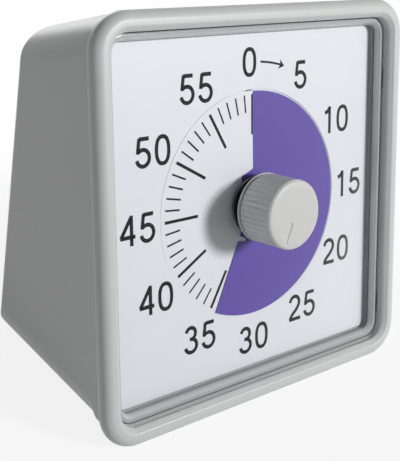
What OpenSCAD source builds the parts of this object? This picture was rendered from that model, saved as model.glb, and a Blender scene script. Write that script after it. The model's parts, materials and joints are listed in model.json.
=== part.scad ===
// Visual countdown timer. A sixty-minute dial leans back in a wedge-shaped case. A thin coloured disc
// threads through a slit in the dial at 0, so turning the knob draws a sector that shrinks to nothing.
// Frame: +Z up, the dial faces -Y, the origin is at the bottom centre of the overall box.
// "Dial frame" below: X right, Y into the case along the spindle, Z up the dial, Y = 0 at the dial's face.
// "Back frame" below: X right, Y outward through the back, Z up the back, origin on the floor.

/* [Case] */
// Width and height of the front rim
front_size = 140; // [134:1:150]
// How far the dial leans back from upright, in degrees
lean = 14; // [10:0.5:18]
// How far each side wall stands in from the rim
case_inset = 3.1; // [2.6:0.1:3.2]
// Thickness of the case walls
wall = 2.5; // [2:0.1:2.8]
// Dial face to the back of the case, along the spindle
case_depth = 56.2; // [54:0.2:70]
// How far the back leans from upright, in degrees
back_lean = 0; // [0:0.5:4]
// How far the top falls away from the spindle's direction, in degrees
top_fall = 8; // [5:0.5:10]
// Radius of the four long edges
long_edge_r = 13.7; // [11:0.1:15]
// Radius of the edges round the back
back_edge_r = 3; // [1.5:0.1:3.4]

/* [Rim] */
// Outer edge of the rim to the lens recess
rim_w = 6.7; // [6.5:0.1:7.2]
// Radius of the rim's rounded outer bead
bead_r = 3.5; // [3.3:0.1:4]
// Width of the rim's flat face, between the bead and the inner edge
face_w = 0.9; // [0.3:0.1:1.3]
// Radius of the rim's outer corners
rim_corner_r = 13; // [11.5:0.5:15]
// Dial face to the front of the rim
rim_forward = 8.8; // [7.8:0.1:9.4]
// Radius of the rim's inner front edge
crest_r = 1.2; // [0.6:0.1:1.6]
// Dial face to the foot of the rim's inner slope
slope_foot = 4.3; // [3.8:0.1:4.5]
// Width of the ledge that carries the lens
ledge_w = 3; // [2.6:0.1:3.6]
// Thickness of the ledge
ledge_t = 4; // [3.4:0.1:5]
// Length of each snap slot for the lens
snap_l = 8; // [6:0.5:12]
// Depth of each snap slot
snap_depth = 0.8; // [0.6:0.1:1.3]
// Height of the upper snap slots above the spindle
snap_up = 40; // [30:1:46]
// Depth of the lower snap slots below the spindle
snap_down = 50; // [30:1:51]

/* [Lens] */
// Thickness of the clear window
lens_t = 1.2; // [1:0.1:1.3]
// Dial face to the front of the window
window_forward = 2.5; // [2.5:0.05:2.8]
// Dial face to the top of the lens rim
lens_rim_forward = 4.6; // [4.2:0.1:5.2]
// Width of the lens rim across its top
lens_rim_w = 1.5; // [1.3:0.1:1.8]
// Width of the slope from the lens rim to the window
lens_slope_w = 1.1; // [0.6:0.1:1.4]
// Thickness of the lens skirt
lens_skirt_t = 1.6; // [1.2:0.1:1.9]
// Radius of the knob's hole in the lens
lens_hole_r = 10.8; // [10.7:0.1:11.4]

/* [Dial] */
// Thickness of the dial plate
dial_t = 1.2; // [1.2:0.05:1.5]
// Thickness of the dial's thin web, under the disc
web_t = 0.3; // [0.2:0.02:0.4]
// Radius of the hole in the middle of the dial
dial_hole_r = 9.4; // [9:0.1:9.8]
// Width of the slit at 0, in degrees
slit_angle = 0.4; // [0.3:0.05:1]
// Length of the short cut beside the slit, in degrees
flap_angle = 5.2; // [3:0.2:8]
// Radius at which the slit ends and flares out toward the hub
flare_r = 13; // [12:0.1:14.5]
// How far the flare reaches sideways
flare_w = 5.3; // [3:0.1:6]

/* [Coloured disc] */
// Radius of the coloured disc
disc_r = 40.2; // [36:0.1:43]
// Thickness of the coloured disc
disc_t = 0.2; // [0.12:0.02:0.26]
// Clearance between the disc and the dial's web
disc_gap = 0.12; // [0.1:0.01:0.16]
// Angle the disc is set to, clockwise from 0, in degrees
set_angle = 204.4; // [60:0.1:300]
// How far the disc's leading edge stands past the radius it follows
edge_offset = 1.23; // [0.4:0.05:2]
// Radius at which the notch in the leading edge begins
notch_r = 12.2; // [11.5:0.1:16]
// Width of the notch at its mouth
notch_w = 2; // [1:0.1:3]
// Depth of the notch
notch_depth = 3.3; // [1:0.1:5]

/* [Hub] */
// Radius of the hub's front flange
hub_r = 10.4; // [9.9:0.1:10.4]
// Radius of the hub's core
hub_core_r = 7.2; // [6:0.1:8]
// Thickness of the hub's flanges
hub_flange_t = 0.5; // [0.4:0.05:0.6]

/* [Knob] */
// Radius of the knob over its ribs
knob_r = 12.1; // [11:0.1:13]
// Dial face to the knob's front
knob_forward = 21; // [18:0.5:24]
// Dial face to the knob's rear
knob_rear = 5.5; // [5.4:0.1:6.5]
// Number of ribs round the knob
rib_count = 36; // [30:2:48]
// Depth of the ribs
rib_depth = 0.4; // [0.2:0.05:0.6]
// Bevel round the knob's front
knob_bevel = 1; // [0.5:0.1:1.5]
// Thickness of the plain lip at the knob's rear
knob_lip = 1; // [0.8:0.1:1.5]
// Wall of the hollow knob
knob_wall = 1.8; // [1.4:0.1:2.4]
// Depth of the pointer cut in the knob's face
pointer_depth = 0.4; // [0.2:0.05:0.8]

/* [Movement] */
// Width and height of the movement case
movement_size = 60; // [58:1:70]
// Wall of the movement case
movement_wall = 1.5; // [1.2:0.1:1.8]
// Radius of the spindle
spindle_r = 2; // [1.6:0.1:2.2]
// Radius of the threaded collar
collar_r = 4; // [3.6:0.1:4.4]
// Width of the fixing nut across its flats
nut_w = 12; // [11:0.5:13]
// Thickness of the fixing nut
nut_t = 2; // [1.5:0.1:2.1]
// Radius of the alarm cam
cam_r = 7.5; // [6:0.1:8]
// Radius of the motor
motor_r = 8; // [7:0.1:9]

/* [Gears] */
// Tooth size of every gear, as pitch diameter over teeth
gear_module = 0.5; // [0.46:0.01:0.52]
// Teeth on the centre wheel
centre_teeth = 60; // [56:2:60]
// Teeth on each pinion
pinion_teeth = 12; // [12:1:14]
// Teeth on the idler wheel
idler_teeth = 48; // [44:2:48]
// Play between meshing teeth
backlash = 0.12; // [0.1:0.01:0.16]
// Thickness of the gear wheels
gear_t = 1.5; // [1.2:0.1:1.6]

/* [Battery] */
// Length of the cell over its terminal
cell_l = 50.5; // [49.5:0.1:50.5]
// Radius of the cell
cell_r = 7.1; // [6.9:0.05:7.25]
// Room for the spring beyond the cell
spring_room = 7.4; // [6:0.1:9]
// Clearance round the cell in its bay
cell_gap = 0.7; // [0.5:0.1:1]
// Wall of the battery bay
bay_wall = 1.5; // [1.2:0.1:2]
// Height of the cell's axis up the back
bay_up = 35; // [32:0.5:42]
// Thickness of the battery door
door_t = 1.7; // [1.5:0.1:1.8]
// How far the door reaches past the bay all round
door_lap = 3; // [2.5:0.1:4]

/* [Alarm] */
// Height of the alarm switch and buzzer up the back
alarm_up = 82; // [78:1:86]
// Travel of the alarm switch
switch_travel = 4.4; // [3:0.2:5]
// Distance of the alarm switch from the middle
switch_side = 24; // [18:1:28]
// Distance of the buzzer from the middle
buzzer_side = 12; // [8:1:16]
// Radius of the buzzer
buzzer_r = 6; // [5:0.1:7]

/* [Rear cover] */
// Thickness of the rear cover
cover_t = 2.5; // [2.4:0.1:3]
// How far the rear cover is sunk below the back edge
cover_sunk = 0.6; // [0.4:0.1:1.2]

/* [Fits] */
// Clearance round the lens and the dial plate
seat_gap = 0.3; // [0.2:0.05:0.35]
// Clearance round the rear cover and the battery door
cover_gap = 0.25; // [0.15:0.05:0.35]
// Radial clearance of a turning shaft
shaft_gap = 0.05; // [0.03:0.01:0.08]
// Radial clearance of a pressed or screwed fit
press_gap = 0.02; // [0.01:0.01:0.04]

/* [Hidden] */

$fn = 96;
eps = 0.01;
far = 400;                                  // longer than anything here, for cutting

// Colours
case_grey = [0.76, 0.77, 0.76];
clear = [0.92, 0.95, 0.97, 0.35];
dial_white = [0.93, 0.93, 0.95];
disc_purple = [0.40, 0.34, 0.63];
hub_black = [0.05, 0.05, 0.06];
knob_grey = [0.80, 0.81, 0.80];
inner_white = [0.86, 0.86, 0.84];
movement_grey = [0.30, 0.31, 0.33];
steel = [0.72, 0.73, 0.75];
brass = [0.78, 0.64, 0.34];
gear_white = [0.93, 0.92, 0.88];
board_green = [0.10, 0.36, 0.20];
cell_blue = [0.16, 0.27, 0.44];
lead_red = [0.65, 0.10, 0.10];

// Half sizes across the front, measured from the spindle
rim_half = front_size / 2;
recess_half = rim_half - rim_w;
opening_half = recess_half - ledge_w;
slot_front = slope_foot + 0.5;
corner_at = rim_half - rim_corner_r;        // centre of every concentric corner
side_half = rim_half - case_inset;          // half width of the case
cavity_half = side_half - wall;
dial_half = opening_half - seat_gap;

// The rim's bead is one round whose centre sits here in the dial frame
bead_half = rim_half - bead_r;
bead_y = bead_r - rim_forward;
crease_y = bead_y + sqrt(bead_r * bead_r - pow(side_half - bead_half, 2));

// Height of the spindle, with the bead's lowest point on the floor
dial_z = bead_y * sin(lean) + bead_half * cos(lean) + bead_r;

// The back passes through the spindle at case_depth and leans back by back_lean
back_at_axis = [case_depth * cos(lean), dial_z - case_depth * sin(lean)];
back_y = back_at_axis[0] - back_at_axis[1] * tan(back_lean);
back_dir = [sin(back_lean), cos(back_lean)];
back_out = [cos(back_lean), -sin(back_lean)];

// The top leaves the bead at a tangent and falls by top_pitch from level
top_pitch = lean + top_fall;
top_start = upright([bead_y + bead_r * sin(top_fall), bead_half + bead_r * cos(top_fall)]);
top_dir = [cos(top_pitch), -sin(top_pitch)];
top_out = [sin(top_pitch), cos(top_pitch)];
front_start = upright([bead_y + bead_r * sin(lean), 0]);
front_dir = [sin(lean), cos(lean)];

// The whole part is shifted so that its box is centred on the origin
back_top = round_corner(cross_point(0, 0), cross_point(0, 1), cross_point(0, 2), back_edge_r)[2];
knob_low = upright([-knob_forward, knob_bevel - knob_r])[0];
bead_low = upright([bead_y, -bead_half])[0] - bead_r;
dial_y = -(min(knob_low, bead_low) + back_top[0] + back_edge_r) / 2;

// The disc, the web and the slit share one screw pitch, so the disc slides along itself
screw_pitch = web_t + disc_t + 2 * disc_gap;
web_front_0 = screw_pitch - web_t + 0.02;   // depth of the web's face at 0; beside the slit its back meets the plate
opening_r = disc_r + 0.6;                   // the disc's round in the dial plate
web_seat = 0.15;                            // how far the web is let into the plate
disc_bore_r = hub_core_r + 0.4;
disc_span = 356;                            // the disc is a ring cut once, almost a full turn

// Hub, between the lens and the nut
hub_play = 0.23;
hub_front_y = web_front_0 - screw_pitch - disc_gap - disc_t - hub_play;
hub_rear_y = web_front_0 + web_t + disc_gap + disc_t + hub_play;
lens_rear_y = lens_t - window_forward;

// Chassis, behind the dial plate
pocket_r = opening_r + 0.7;
pocket_y = dial_t + 1.4;
chassis_y = pocket_y + 2;
flange_t = 2;
flange_side = cavity_half - 0.5;
flange_up = cavity_floor(ledge_t + flange_t) - 0.5;
flange_corner_r = long_edge_r - wall + 0.8;
chassis_screw_r = 1;
chassis_screw_side = 45;
chassis_screw_up = opening_half + 1.9;
nut_y = pocket_y + 0.2;
boss_y = nut_y + nut_t + 1.4;               // where the movement meets the chassis
nut_room_r = nut_w / 2 / cos(30) + 0.8;

// Movement layout along the spindle
movement_half = movement_size / 2;
train_y = boss_y + movement_wall;
joint_y = boss_y + 8.3;                     // where the two halves of its case meet
movement_back_y = boss_y + 15.8;
centre_y = train_y + 1.5;
clutch_y = centre_y + gear_t;
spindle_collar_y = clutch_y + 0.7;
idler_wheel_y = clutch_y + 1.4;
cam_y = idler_wheel_y + gear_t + 0.4;
cam_t = 1.4;
bearing_y = movement_back_y - movement_wall - 2.4;
motor_y = cam_y + 0.8;
pinion_y = idler_wheel_y - 0.2;
arbor_r = 0.75;

// Gear geometry
pressure_angle = 20;
addendum = 0.85 * gear_module;
dedendum = 1.2 * gear_module;
idler_dir = 225;                            // direction of the idler from the spindle, in degrees
motor_dir = 340;                            // direction of the motor from the idler
idler_reach = gear_module * (centre_teeth + pinion_teeth) / 2;
motor_reach = gear_module * (idler_teeth + pinion_teeth) / 2;
idler_at = idler_reach * [cos(idler_dir), sin(idler_dir)];
motor_at = idler_at + motor_reach * [cos(motor_dir), sin(motor_dir)];
idler_phase = mesh_phase(0, centre_teeth, pinion_teeth, idler_dir);
motor_phase = mesh_phase(idler_phase, idler_teeth, pinion_teeth, motor_dir);

// Rear cover, battery bay and door, in the back frame
cover_out_y = -cover_sunk;
cover_in_y = cover_out_y - cover_t;
cell_nub_l = 1.3;
cell_nub_r = 2.75;
contact_t = 0.4;
bay_l = cell_l + spring_room + 2 * contact_t + 0.1;
bay_half = bay_l / 2;
bay_h = 2 * (cell_r + cell_gap);
door_ledge_y = cover_out_y - door_t - 0.1;
cell_y = door_ledge_y - cell_gap - cell_r;
bay_floor_y = cell_y - cell_r - cell_gap;
door_half = bay_half + door_lap;
door_low = bay_up - bay_h / 2 - door_lap;
door_high = bay_up + bay_h / 2 + door_lap;
door_hinge_y = cover_out_y - door_t / 2;
door_hinge_z = door_low + door_t / 2;
door_pin_r = 0.5;
door_pin_l = 1.6;
cell_right = bay_half - contact_t - 0.05;   // outer end of the cell's terminal

// Fasteners
cover_screw_r = 1.4;
cover_screw_l = 14;
cover_screw_side = cavity_half - 4.3;
cover_screw_low = 20;
cover_screw_high = 98;
cover_boss_r = 4.6;
cover_boss_l = 20;

// Circuit board, in the back frame
board_y = -11;                              // the face that looks at the rear cover
board_t = 1.6;
board_half = 40;
board_low = alarm_up - 18;
board_high = alarm_up + 18;
board_screw_r = 1;
board_screw_side = board_half - 4;
board_posts = [for (x = [-1, 1], z = [board_low + 3.5, board_high - 3.5]) [x * board_screw_side, z]];
slider_pad = [4.5, 5.6];
slider_stem = [2.2, 2.4];
switch_size = [11, 7, 5];
board_screw_grip = 5.5;                     // how far the board's screws reach into their posts

// Leads
lead_r = 0.6;
lead_side = 18;                             // distance of each pair of leads from the middle of the movement
lead_slot = [5, 6, 8];                      // opening in the movement's back for a pair of leads
lead_up = 5;                                // height of the solder points above the board's lower edge

// A point of the dial frame's Y and Z, in upright axes through the spindle: [y, z above the floor]
function upright(p) = [p[0] * cos(lean) + p[1] * sin(lean), dial_z - p[0] * sin(lean) + p[1] * cos(lean)];

// Where two lines meet, each a point and a direction
function meet(p, d, q, e) = p + d * ((q[0] - p[0]) * e[1] - (q[1] - p[1]) * e[0]) / (d[0] * e[1] - d[1] * e[0]);

// The case's side profile moved in by t: corner 0 is low at the back, 1 high at the back,
// 2 high at the front and 3 low at the front
function cross_point(t, i) =
    i == 0 ? meet([0, t], [1, 0], [back_y, 0], back_dir) :
    i == 1 ? meet(top_start - t * top_out, top_dir, [back_y, 0], back_dir) :
    i == 2 ? meet(top_start - t * top_out, top_dir, front_start, front_dir) :
             meet([0, t], [1, 0], front_start, front_dir);

// Height of the cavity's floor below the spindle in the dial frame, at depth y
function cavity_floor(y) = (dial_z - wall - y * sin(lean)) / cos(lean);

// A rounded corner at b: the two tangent points and the centre
function unit(v) = v / norm(v);
function round_corner(a, b, c, r) =
    let (u = unit(a - b), v = unit(c - b), half = acos(u * v) / 2)
    [b + u * r / tan(half), b + v * r / tan(half), b + unit(u + v) * r / sin(half)];

// Points given in the dial frame or the back frame, in the part's own frame
function dial_pt(p) = let (q = upright([p[1], p[2]])) [p[0], dial_y + q[0], q[1]];
function back_pt(p) = [p[0], dial_y + back_y + p[1] * back_out[0] + p[2] * back_dir[0],
                       p[1] * back_out[1] + p[2] * back_dir[1]];

// Frames
module on_floor() translate([0, dial_y, 0]) children();
module on_dial() on_floor() translate([0, 0, dial_z]) rotate([-lean, 0, 0]) children();
module on_back() on_floor() translate([0, back_y, 0]) rotate([-back_lean, 0, 0]) children();

// A flat shape drawn in X and Z, filling Y from y0 to y1
module slab(y0, y1) translate([0, y1, 0]) rotate([90, 0, 0]) linear_extrude(y1 - y0) children();

// A shape turned about the Y axis, drawn as [radius, y]
module turned(points) rotate([-90, 0, 0]) rotate_extrude() polygon(points);

// A round bar along Y, from y0 to y1
module bar(r, y0, y1, x = 0, z = 0) translate([x, y0, z]) rotate([-90, 0, 0]) cylinder(r = r, h = y1 - y0);

// A rectangle from its half sizes, with round corners
module rounded_square(hx, hz, r) {
    square([2 * (hx - r), 2 * hz], center = true);
    square([2 * hx, 2 * (hz - r)], center = true);
    for (x = [-1, 1], z = [-1, 1])
        translate([x * (hx - r), z * (hz - r)]) circle(r);
}

// A convex outline with a radius at each corner, 0 for a sharp one
module rounded_polygon(points, radii) {
    n = len(points);
    corners = [for (i = [0 : n - 1]) round_corner(points[(i + n - 1) % n], points[i], points[(i + 1) % n], radii[i])];
    polygon([for (i = [0 : n - 1]) each radii[i] > 0 ? [corners[i][0], corners[i][1]] : [points[i]]]);
    for (i = [0 : n - 1]) if (radii[i] > 0) translate(corners[i][2]) circle(radii[i]);
}

// A profile of [half size, y] carried round a square frame with round corners
module frame_sweep() {
    for (a = [0 : 90 : 270]) rotate([0, a, 0]) {
        translate([0, 0, -corner_at]) linear_extrude(2 * corner_at) children();
        translate([corner_at, 0, corner_at]) rotate([-90, 0, 0]) rotate([0, 0, -90])
            rotate_extrude(angle = 90) translate([-corner_at, 0]) children();
    }
}

// The solid wedge of the case, moved in by t; its front ends inside the rim
module wedge(t, back_extra = 0) {
    half = side_half - t;
    r = long_edge_r - t;
    side = [for (i = [0 : 3]) cross_point(t, i)];
    grown = [side[0] + [back_extra, 0], side[1] + back_extra * top_dir, side[2], side[3]];
    edge_r = back_extra > 0 ? 0 : back_edge_r;
    on_floor() intersection() {
        rotate([90, 0, 90]) translate([0, 0, -half]) linear_extrude(2 * half)
            rounded_polygon(grown, [edge_r, edge_r, 0, 0]);
        // long edges along the floor
        slab(-far, far) translate([0, t]) {
            translate([0, far / 2 + r]) square([2 * half, far], center = true);
            translate([r - half, 0]) square([2 * (half - r), far]);
            for (x = [-1, 1]) translate([x * (half - r), r]) circle(r);
        }
        // long edges along the top
        translate([0, top_start[0] - t * top_out[0], top_start[1] - t * top_out[1]]) rotate([-top_pitch, 0, 0])
            slab(-far, far) {
                translate([0, -far / 2 - r]) square([2 * half, far], center = true);
                translate([r - half, -far]) square([2 * (half - r), far]);
                for (x = [-1, 1]) translate([x * (half - r), -r]) circle(r);
            }
        // upright edges round the back
        if (edge_r > 0) translate([0, back_y, 0]) rotate([-back_lean, 0, 0])
            translate([0, 0, -far / 2]) linear_extrude(far) {
                translate([0, -far / 2 - edge_r]) square([2 * half, far], center = true);
                translate([edge_r - half, -far]) square([2 * (half - edge_r), far]);
                for (x = [-1, 1]) translate([x * (half - edge_r), -edge_r]) circle(edge_r);
            }
    }
}

// The rim's section: a round bead and a narrow flat face over a solid root, sloping in to the lens recess from a
// rounded crest
module rim_profile() {
    foot = [recess_half, -slope_foot];
    crest = [bead_half - face_w, crest_r - rim_forward];
    reach = crest - foot;
    turn = atan2(reach[1], reach[0]) - asin(crest_r / norm(reach));
    slope_top = foot + sqrt(reach * reach - crest_r * crest_r) * [cos(turn), sin(turn)];
    difference() {
        translate([bead_half, bead_y]) circle(bead_r);
        translate([bead_half - 2 * bead_r, -2 * bead_r]) square([2 * bead_r, 4 * bead_r]);
    }
    translate(crest) circle(crest_r);
    polygon([[opening_half, 0], [recess_half, 0], foot, slope_top, crest, [crest[0], -rim_forward],
             [bead_half, -rim_forward], [side_half - eps, bead_y], [side_half - eps, ledge_t], [opening_half, ledge_t]]);
}

module concentric(half) rounded_square(half, half, half - corner_at);

// Snap slots and the lens's tabs sit at these places: side and height
snap_places = [for (x = [-1, 1], z = [snap_up, -snap_down]) [x, z]];

// The slots reach from 1 mm before the ledge to just past the slope's foot, where they show as four dark slits
module snap_slots()
    for (p = snap_places) translate([p[0] * (recess_half + snap_depth / 2 - eps), -(slot_front + 1) / 2, p[1]])
        cube([snap_depth + 2 * eps, slot_front - 1, snap_l], center = true);

module housing() color(case_grey) {
    on_dial() difference() {
        frame_sweep() rim_profile();
        snap_slots();
        chassis_screw_places() bar(chassis_screw_r + press_gap, ledge_t - 3.2, ledge_t + 1);
    }
    difference() {
        wedge(0);
        intersection() {
            wedge(wall, 20);
            on_dial() slab(ledge_t, far) square(far, center = true);
        }
        on_dial() {
            slab(-far, ledge_t + 1) concentric(opening_half);
            slab(-far, 0) concentric(recess_half);
            chassis_screw_places() bar(chassis_screw_r + press_gap, ledge_t - 3.2, ledge_t + 1);
            snap_slots();
        }
    }
    // screw bosses for the rear cover, moulded into the side walls
    on_back() cover_screw_places() difference() {
        union() {
            bar(cover_boss_r, cover_in_y - cover_boss_l, cover_in_y);
        }
        bar(cover_screw_r + press_gap, cover_in_y - cover_boss_l + 2, cover_in_y + 1);
    }
}

module chassis_screw_places()
    for (x = [-1, 1], z = [-1, 1]) translate([x * chassis_screw_side, 0, z * chassis_screw_up]) children();

module cover_screw_places()
    for (x = [-1, 1], z = [cover_screw_low, cover_screw_high]) translate([x * cover_screw_side, 0, z]) children();

// Clear front cover: a flat window inside a raised rim, whose skirt stands on the ledge
module lens() color(clear) on_dial() {
    outer = recess_half - seat_gap;
    rim_in = outer - lens_rim_w;
    window_in = rim_in - lens_slope_w;
    frame_sweep() {
        shoulder = round_corner([outer, 0], [outer, -lens_rim_forward], [rim_in, -lens_rim_forward], 0.7);
        translate(shoulder[2]) circle(0.7);
        polygon([[corner_at + 0.5, lens_rear_y], [outer - lens_skirt_t, lens_rear_y], [outer - lens_skirt_t, 0],
                 [outer, 0], shoulder[0], shoulder[1], [rim_in, -lens_rim_forward],
                 [window_in, -window_forward], [corner_at + 0.5, -window_forward]]);
    }
    difference() {
        slab(-window_forward, lens_rear_y) square(2 * corner_at + 1.4, center = true);
        bar(lens_hole_r, -window_forward - 1, lens_rear_y + 1);
    }
    // snap tabs, rooted in the lens rim
    for (p = snap_places) translate([p[0] * (outer + snap_depth / 2 - 0.25), -2.4, p[1]])
        cube([snap_depth + 0.1, 1.2, snap_l - 1], center = true);
}

// A ribbon of thickness t that climbs round the spindle with the disc's pitch. stations holds, for each rib,
// [angle clockwise from 0, inner radius, outer radius]; each rib leans past its radius by offset
module ribbon(stations, front_0, t, offset) {
    n = len(stations);
    function spot(s, r, back) =
        let (a = s[0] + (offset > 0 ? asin(offset / r) : 0))
        [r * sin(a), front_0 - screw_pitch * a / 360 + back * t, r * cos(a)];
    points = [for (s = stations) each [spot(s, s[1], 0), spot(s, s[2], 0), spot(s, s[2], 1), spot(s, s[1], 1)]];
    walls = [for (i = [0 : n - 2], k = [0 : 3])
        let (a = 4 * i + k, b = 4 * i + (k + 1) % 4) each [[a, b, b + 4], [a, b + 4, a + 4]]];
    last = 4 * (n - 1);
    polyhedron(points, concat([[3, 2, 1, 0]], walls, [[last, last + 1, last + 2, last + 3]]), convexity = 4);
}

rib_step = 4;

// Inner radius of the dial's web: the round hole, flared at the slit's foot where the disc comes forward
function web_inner_r(a) = a < 320 ? dial_hole_r :
    max(dial_hole_r, min(flare_r / (cos(a) - 0.42 * sin(a)), flare_w / sin(360 - a)));

// White dial plate; its round middle is a thin web that climbs by one pitch from one side of the slit to the other
module dial_plate() color(dial_white) on_dial() {
    flap_from = 360 - slit_angle - flap_angle;
    steps = ceil(flap_from / rib_step);
    full = [for (i = [0 : steps]) let (a = flap_from * i / steps) [a, web_inner_r(a), opening_r + web_seat]];
    flap = [for (i = [0 : 2]) let (a = flap_from + 0.1 + (flap_angle - 0.1) * i / 2)
        [a, web_inner_r(a), opening_r - 0.3]];
    ribbon(concat(full, flap), web_front_0, web_t, 0);
    difference() {
        slab(0, dial_t) rounded_square(dial_half, dial_half, dial_half - corner_at);
        bar(opening_r, -1, dial_t + 1);
    }
}

// Coloured disc: a ring of thin film, cut once. Its part from 0 to the knob's setting lies in front of the dial's
// web, the rest behind it
module time_disc() color(disc_purple) on_dial() {
    from = set_angle - disc_span;
    steps = disc_span / rib_step;
    front_0 = web_front_0 - disc_gap - disc_t;
    lead_y = front_0 - screw_pitch * set_angle / 360;
    difference() {
        ribbon([for (i = [0 : steps]) [from + rib_step * i, disc_bore_r, disc_r]], front_0, disc_t, edge_offset);
        // notch in the leading edge
        rotate([0, set_angle, 0]) slab(lead_y - disc_t, lead_y + 2 * disc_t)
            polygon([[edge_offset + 1, notch_r], [edge_offset - notch_depth, notch_r - 0.1],
                     [edge_offset - notch_depth - 0.4, notch_r + 0.55 * notch_w], [edge_offset + 1, notch_r + notch_w]]);
    }
}

// Black hub that carries the disc between two flanges
module disc_hub() color(hub_black) on_dial() {
    bore = spindle_r + press_gap;
    front = hub_front_y - hub_flange_t;
    turned([[bore, front], [hub_r - 0.3, front], [hub_r, front + 0.3], [hub_r, hub_front_y],
            [hub_core_r, hub_front_y], [hub_core_r, hub_rear_y], [hub_r - 0.4, hub_rear_y],
            [hub_r - 0.4, hub_rear_y + hub_flange_t], [bore, hub_rear_y + hub_flange_t]]);
}

// Flat-topped ribs with narrow grooves between them
module ribbed_outline(r) {
    step = 360 / rib_count;
    polygon([for (i = [0 : rib_count - 1]) each [for (p = [[-0.32, 0], [0.32, 0], [0.5, rib_depth]])
        let (a = (i + p[0]) * step) (r - p[1]) * [cos(a), sin(a)]]]);
}

// D-shaped end of the spindle, and the same shape grown for the knob's bore
module spindle_end(gap) intersection() {
    circle(spindle_r + gap);
    translate([-far / 2, -far]) square([far, far + spindle_r * 0.6 + gap]);
}

spindle_front_y = -knob_forward + 4;

module knob() color(knob_grey) on_dial() rotate([0, set_angle, 0]) difference() {
    union() {
        bar(knob_r + 0.2, -knob_rear - knob_lip, -knob_rear);
        bar(knob_r - rib_depth - 0.2, -knob_rear - knob_lip - 0.8, -knob_rear - knob_lip + eps);
        intersection() {
            slab(-knob_forward - 1, -knob_rear - knob_lip - 0.8) ribbed_outline(knob_r);
            turned([[0, -knob_forward], [knob_r - knob_bevel, -knob_forward],
                    [knob_r + 0.2, -knob_forward + knob_bevel + 0.2], [knob_r + 0.2, 0], [0, 0]]);
        }
    }
    // hollow round the boss
    difference() {
        bar(knob_r - knob_wall - rib_depth, -knob_forward + 2.5, 0);
        bar(spindle_r + 2.5, -knob_forward, 0);
    }
    slab(spindle_front_y - 0.3, 0) spindle_end(shaft_gap);
    // pointer cut in the face
    translate([0, -knob_forward, knob_r * 0.56]) cube([0.7, 2 * pointer_depth, knob_r * 0.66], center = true);
}

module spindle() color(steel) on_dial() rotate([0, set_angle, 0]) {
    slab(spindle_front_y, hub_front_y - hub_flange_t - 0.2) spindle_end(0);
    bar(spindle_r, hub_front_y - hub_flange_t - 0.2, bearing_y + 1.3);
    bar(spindle_r + 1.3, spindle_collar_y, spindle_collar_y + 0.6);
}

// Plate that carries the dial plate in front and the movement behind
module chassis() color(inner_white) on_dial() difference() {
    union() {
        slab(dial_t, chassis_y) rounded_square(dial_half - 0.1, dial_half - 0.1, dial_half - corner_at);
        difference() {
            slab(ledge_t, ledge_t + flange_t) rounded_square(flange_side, flange_up, flange_corner_r);
            slab(chassis_y, far) square(2 * (opening_half - 6), center = true);
        }
        bar(nut_room_r + 2, pocket_y, boss_y);
        for (a = [0 : 90 : 270]) rotate([0, a, 0])
            translate([nut_room_r, chassis_y - eps, -1]) cube([opening_half - 6 - nut_room_r + 1, 1.2, 2]);
    }
    bar(pocket_r, dial_t - 1, pocket_y);
    bar(nut_room_r, pocket_y - 1, nut_y + nut_t);
    bar(collar_r + 0.2, 0, boss_y + 1);
    chassis_screw_places() bar(chassis_screw_r + 0.2, ledge_t - 1, ledge_t + flange_t + 1);
}

module chassis_screws() color(steel) on_dial() chassis_screw_places() {
    bar(chassis_screw_r, ledge_t - 3, ledge_t + flange_t);
    pan_head(2.1, ledge_t + flange_t, 1.4);
}

// Domed head with a cross recess, growing toward +Y
module pan_head(r, y, h) difference() {
    turned([[0, y], [r, y], [r, y + h * 0.5], [r * 0.7, y + h], [0, y + h]]);
    for (a = [0, 90]) rotate([0, a, 0]) translate([0, y + h, 0]) cube([r, h, r * 0.25], center = true);
}

module movement_front() color(movement_grey) on_dial() difference() {
    union() {
        difference() {
            slab(boss_y, joint_y) square(movement_size, center = true);
            slab(train_y, joint_y + 1) square(movement_size - 2 * movement_wall, center = true);
        }
        bar(collar_r, pocket_y - 0.1, train_y);
        bar(collar_r, train_y - eps, centre_y - 0.3);
        bar(2.5, train_y - eps, centre_y - 0.4, idler_at[0], idler_at[1]);
        movement_screw_places() bar(3, train_y - eps, joint_y);
    }
    bar(spindle_r + shaft_gap, 0, centre_y + 1);
    bar(arbor_r + shaft_gap, train_y - 0.9, centre_y + 1, idler_at[0], idler_at[1]);
    movement_screw_places() bar(1 + press_gap, joint_y - 5, joint_y + 1);
}

module movement_screw_places() {
    at = movement_half - movement_wall - 2.2;
    for (x = [-1, 1], z = [-1, 1]) translate([x * at, 0, z * at]) children();
}

module movement_back() color(movement_grey) on_dial() difference() {
    floor_y = movement_back_y - movement_wall;
    union() {
        difference() {
            slab(joint_y, movement_back_y) square(movement_size, center = true);
            slab(joint_y - 1, floor_y) square(movement_size - 2 * movement_wall, center = true);
        }
        bar(collar_r, bearing_y, floor_y + eps);
        bar(2.5, cam_y + 1, floor_y + eps, idler_at[0], idler_at[1]);
        movement_screw_places() bar(3, joint_y, floor_y + eps);
    }
    bar(spindle_r + shaft_gap, bearing_y - 1, bearing_y + 1.6);
    bar(arbor_r + shaft_gap, cam_y, cam_y + 3.4, idler_at[0], idler_at[1]);
    movement_screw_places() bar(1.2, joint_y - 1, movement_back_y + 1);
    // slots for the leads
    for (x = [-1, 1]) translate([x * lead_side, movement_back_y, movement_half]) cube(lead_slot, center = true);
}

module movement_screws() color(steel) on_dial() movement_screw_places() {
    bar(1, joint_y - 4.5, movement_back_y);
    pan_head(2, movement_back_y, 1.2);
}

// Thin hexagon nut that clamps the movement's collar to the chassis
module fixing_nut() color(brass) on_dial() difference() {
    slab(nut_y, nut_y + nut_t) circle(r = nut_w / 2 / cos(30), $fn = 6);
    bar(collar_r + press_gap, nut_y - 1, nut_y + nut_t + 1);
}

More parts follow.
